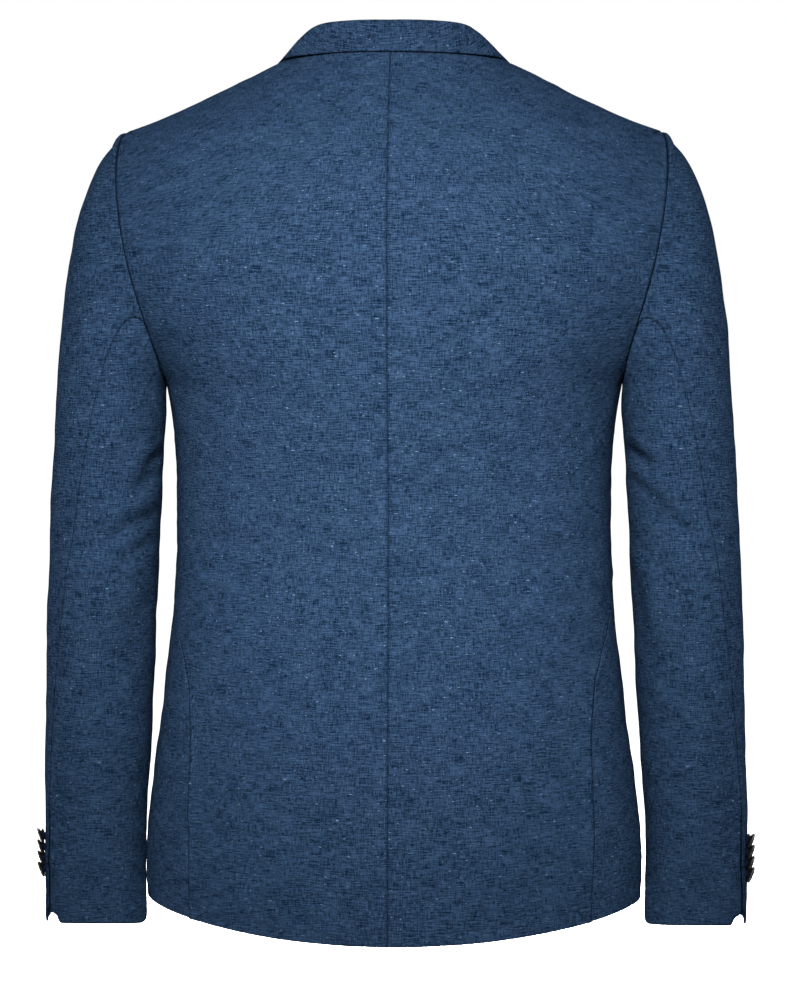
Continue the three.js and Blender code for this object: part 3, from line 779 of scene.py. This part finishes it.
def lay_thread(name, piece, face, x1, h1, x2, h2, radius):
    """A thread in six short lengths that follow the cloth from one place to the other."""
    shape = bmesh.new()
    stops = [on_cloth(piece, face, x1 + (x2 - x1) * i / 6, h1 + (h2 - h1) * i / 6) for i in range(7)]
    stops = [stop for stop in stops if stop is not None]
    for a, b in zip(stops, stops[1:]):
        way = b - a
        lie = Matrix.Translation((a + b) / 2) @ way.to_track_quat("Z", "Y").to_matrix().to_4x4()
        bmesh.ops.create_cone(shape, cap_ends=True, segments=8, radius1=radius * MM, radius2=radius * MM,
                              depth=way.length * 1.1, matrix=lie)
    finish_piece(mesh_object(name, shape), THREAD)


bpy.context.view_layer.update()
for number, (name, *mark) in enumerate(MARKS, 1):
    lay_thread(f"stitch_{number}", pieces[name], *mark)

# %% [markdown]
# ## Buttons
# The buttons are turned dark resin with a glossy rim.

# %% Button material
BROWN = (0.0006, 0.0005, 0.0005, 1.0)
HORN = (0.0020, 0.0013, 0.0010, 1.0)


def horn_material():
    """Dark streaked horn, and the matt thread where the attribute says so."""
    material, tree, shader = new_material("dark_horn")
    place = add(tree, "ShaderNodeTexCoord").outputs["Object"]
    streak = cloth_noise(tree, place, (140.0, 140.0, 420.0), 3.0, 0.6)
    base = mixed(tree, ramp(tree, streak, 0.45, 0.70), BROWN, HORN)
    thread = add(tree, "ShaderNodeAttribute", {"attribute_name": "thread"}).outputs["Fac"]
    tree.links.new(mixed(tree, thread, base, NAVY), shader.inputs["Base Color"])
    tree.links.new(ramp(tree, thread, 0.0, 1.0, 0.45, 0.9), shader.inputs["Roughness"])
    shader.inputs["Specular IOR Level"].default_value = 0.015
    return material


BUTTON = horn_material()

# %% [markdown]
# Each button is turned from a profile with a raised rim and a dished middle, and has four holes with a
# cross of thread. The solid says where it sits: its two middle points are its axis. Its flat back is 0.8
# of its radius, and its dish lies at 0.72 of its thickness. All the shares are of the radius or thickness.

# %% Turned buttons
TURNS = 48
HOLE = {"radius": 0.115, "out": 0.26}
THREAD_RADIUS = 0.085
THREAD_HEIGHT = 0.70
SOLID = {"back": 0.8, "dish": 0.72}
SHANK = {"foot": 0.80, "head": 0.56, "length": 2.6 * MM}


def button_seat(node):
    """The middle of a button's back, its axis, radius and thickness, read from its solid."""
    shape = bmesh.new()
    shape.from_mesh(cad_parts[node].data)
    bmesh.ops.remove_doubles(shape, verts=shape.verts, dist=MERGE)
    spokes = {v: [e.calc_length() for e in v.link_edges] for v in shape.verts}
    most = max(len(lengths) for lengths in spokes.values())
    middles = [v for v in shape.verts if len(spokes[v]) == most]
    dish, back = sorted(middles, key=lambda v: sum(spokes[v]))
    radius = sum(spokes[back]) / most / SOLID["back"]
    depth = (dish.co - back.co).length / SOLID["dish"]
    seat = back.co.copy(), (dish.co - back.co).normalized(), radius, depth
    shape.free()
    return seat


def turned(shape, radius, depth):
    """A disc with a raised rounded rim, turned round Z."""
    profile = [(0.0, 0.0), (0.70, 0.0), (0.86, 0.10), (0.96, 0.34), (1.0, 0.60), (0.97, 0.84), (0.90, 0.98),
               (0.82, 0.98), (0.75, 0.84), (0.68, 0.72), (0.50, 0.66), (0.0, 0.66)]
    verts = [shape.verts.new((radius * r, 0, depth * z)) for r, z in profile]
    edges = [shape.edges.new(pair) for pair in zip(verts, verts[1:])]
    bmesh.ops.spin(shape, geom=verts + edges, cent=(0, 0, 0), axis=(0, 0, 1), angle=2 * math.pi,
                   steps=TURNS, use_merge=True)
    bmesh.ops.remove_doubles(shape, verts=shape.verts, dist=MERGE)
    bmesh.ops.recalc_face_normals(shape, faces=shape.faces)


def drilled(radius, depth):
    """A turned button with its four holes cut through."""
    shape = bmesh.new()
    turned(shape, radius, depth)
    button = mesh_object("turned_button", shape)
    shape = bmesh.new()
    for x in (-1, 1):
        for y in (-1, 1):
            place = Matrix.Translation((x * HOLE["out"] * radius, y * HOLE["out"] * radius, depth / 2))
            bmesh.ops.create_cone(shape, cap_ends=True, segments=16, radius1=HOLE["radius"] * radius,
                                  radius2=HOLE["radius"] * radius, depth=3 * depth, matrix=place)
    drills = mesh_object("drills", shape)
    cut = button.modifiers.new("holes", "BOOLEAN")
    cut.operation = "DIFFERENCE"
    cut.solver = "EXACT"
    cut.object = drills
    mesh = bpy.data.meshes.new_from_object(button.evaluated_get(bpy.context.evaluated_depsgraph_get()))
    bpy.data.objects.remove(button)
    bpy.data.objects.remove(drills)
    return mesh


def sewn_cross(radius, depth):
    """Two threads crossed over the holes, and the wound shank behind the button."""
    shape = bmesh.new()
    reach = HOLE["out"] * radius
    bmesh.ops.create_cone(shape, cap_ends=True, segments=16, radius1=SHANK["foot"] * radius,
                          radius2=SHANK["head"] * radius, depth=SHANK["length"],
                          matrix=Matrix.Translation((0, 0, -SHANK["length"] / 2)))
    for turn in (45, -45):
        lie = Matrix.Translation((0, 0, THREAD_HEIGHT * depth)) @ Matrix.Rotation(math.radians(turn), 4, "Z") \
            @ Matrix.Rotation(math.radians(90), 4, "Y")
        bmesh.ops.create_cone(shape, cap_ends=True, segments=10, radius1=THREAD_RADIUS * radius,
                              radius2=THREAD_RADIUS * radius, depth=2 * math.sqrt(2) * reach, matrix=lie)
    return shape


def make_button(node):
    """A turned and sewn button in the place of its solid."""
    place, axis, radius, depth = button_seat(node)
    shape = sewn_cross(radius, depth)
    threads = len(shape.faces)
    shape.from_mesh(drilled(radius, depth))
    turn = axis.to_track_quat("Z", "Y").to_matrix().to_4x4()
    shape.transform(Matrix.Translation(place) @ turn)
    piece = mesh_object(node + "_turned", shape)
    layer = piece.data.attributes.new("thread", "FLOAT", "FACE")
    layer.data.foreach_set("value", [1.0 if i < threads else 0.0 for i in range(len(layer.data))])
    finish_piece(piece, BUTTON, node)
    piece.data.set_sharp_from_angle(angle=math.radians(38))
    return radius, depth


for name in [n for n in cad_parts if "button" in n]:
    radius, depth = make_button(name)
    print(name, "radius", round(radius / MM, 2), "mm, thickness", round(depth / MM, 2), "mm")

# %% [markdown]
# ## Studio
# A pale floor well below the hem and an even white surround, as in a catalogue picture. Two hooded lights
# from behind the camera model the back, and three soft ones light the front and the sides.

# %% Floor and lights
FLOOR_DROP = 0.55
SPOTS = [
    # name, place, aim, cone in degrees, watts
    ("upper", (0.05, 2.35, 0.78), (0.0, 0.0, -0.20), 24.5, 2760.0),
    ("lower", (0.0, 2.4, 0.75), (0.0, 0.0, -0.50), 23.8, 2300.0),
]
SOFT_LIGHTS = [
    # name, place, size, watts
    ("front", (0.3, -2.6, 0.9), 1.6, 640.0),
    ("left", (2.6, -1.2, 0.4), 1.4, 150.0),
    ("right", (-2.6, -1.2, 0.4), 1.4, 150.0),
]


def make_floor():
    """A wide floor, which glows a little so that it stays as pale as the surround."""
    shape = bmesh.new()
    bmesh.ops.create_grid(shape, x_segments=2, y_segments=2, size=30.0)
    floor = mesh_object("floor", shape)
    floor.location.z = cad_box[0][2] - FLOOR_DROP
    floor.data.materials.append(matt_material("pale_floor", (0.99, 0.99, 0.99, 1.0), glow=0.08))


def hang_lamp(name, kind, place, aim, watts):
    """A lamp that is turned to its aim."""
    lamp = bpy.data.lights.new(name, kind)
    lamp.energy = watts
    light = bpy.data.objects.new(name, lamp)
    light.location = place
    light.rotation_euler = (Vector(aim) - Vector(place)).to_track_quat("-Z", "Y").to_euler()
    bpy.context.scene.collection.objects.link(light)
    return lamp


make_floor()
for name, place, aim, cone, watts in SPOTS:
    lamp = hang_lamp(name, "SPOT", place, aim, watts)
    lamp.spot_size = math.radians(cone)
    lamp.spot_blend = 1.0
    lamp.shadow_soft_size = 0.28
for name, place, size, watts in SOFT_LIGHTS:
    lamp = hang_lamp(name, "AREA", place, AIM, watts)
    lamp.shape = "DISK"
    lamp.size = size
world = bpy.data.worlds.new("studio")
world.use_nodes = True
world.node_tree.nodes["Background"].inputs["Color"].default_value = (1.0, 1.0, 1.0, 1.0)
world.node_tree.nodes["Background"].inputs["Strength"].default_value = 1.0
bpy.context.scene.world = world
bpy.context.scene.view_settings.view_transform = "Standard"
